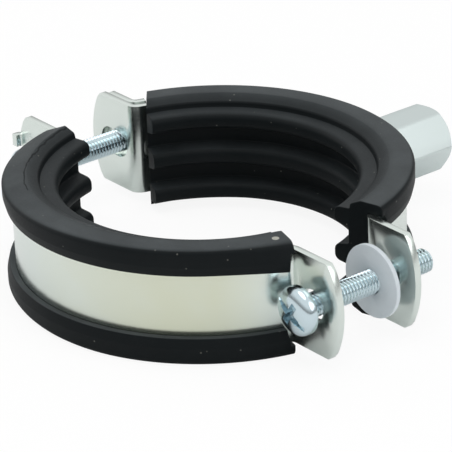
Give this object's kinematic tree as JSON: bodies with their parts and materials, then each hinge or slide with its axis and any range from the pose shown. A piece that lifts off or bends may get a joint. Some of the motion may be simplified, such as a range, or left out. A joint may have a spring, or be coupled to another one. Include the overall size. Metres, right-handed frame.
{
  "type": "rubber lined pipe clamp",
  "caption": "Two-piece zinc-plated steel pipe clamp with a ribbed rubber lining, side screws, a plastic retaining disc and a hexagonal connection boss.",
  "frame": {"origin": "on the pipe's axis, at the middle of the strip's width", "axes": "+Z along the pipe's axis, +Y from the front half to the connection boss, +X to the ears with the retaining disc"},
  "size_m": [0.1047, 0.1026, 0.0244],
  "materials": {
    "strip_steel": "bright zinc-plated cold-rolled strip",
    "boss_steel": "zinc-plated cold-formed steel",
    "screw_steel": "blue-passivated zinc-plated steel",
    "lining_rubber": "extruded black rubber, matt",
    "disc_plastic": "moulded grey polyethylene"
  },
  "bodies": {
    "back_half": {"band_back": "strip_steel", "liner_back": "lining_rubber", "connection_boss": "boss_steel", "thread_plate": "strip_steel"},
    "front_half": {"band_front": "strip_steel", "liner_front": "lining_rubber"},
    "screw_right": {"screw_right": "screw_steel"},
    "screw_left": {"screw_left": "screw_steel"},
    "retaining_disc": {"retaining_disc": "disc_plastic"}
  },
  "joints": [
    {"name": "clamp_close", "type": "slide", "parent": "back_half", "child": "front_half", "axis": [0, 1, 0], "range_m": [-0.0048, 0.016]},
    {"name": "screw_right_turn", "type": "hinge", "parent": "front_half", "child": "screw_right", "pos_m": [0.04439, 0, 0], "axis": [0, 1, 0], "range_deg": [-2160, 7200]},
    {"name": "screw_left_turn", "type": "hinge", "parent": "front_half", "child": "screw_left", "pos_m": [-0.04439, 0, 0], "axis": [0, 1, 0], "range_deg": [-2160, 7200]},
    {"name": "disc_slide", "type": "slide", "parent": "back_half", "child": "retaining_disc", "axis": [0, 1, 0], "range_m": [-0.001, 0.0034]}
  ],
  "couplings": [
    {"joint": "screw_right_turn", "follows": "clamp_close", "rad_per_m": 7854},
    {"joint": "screw_left_turn", "follows": "clamp_close", "rad_per_m": 7854},
    {"joint": "disc_slide", "follows": "clamp_close", "ratio": 0.207}
  ]
}
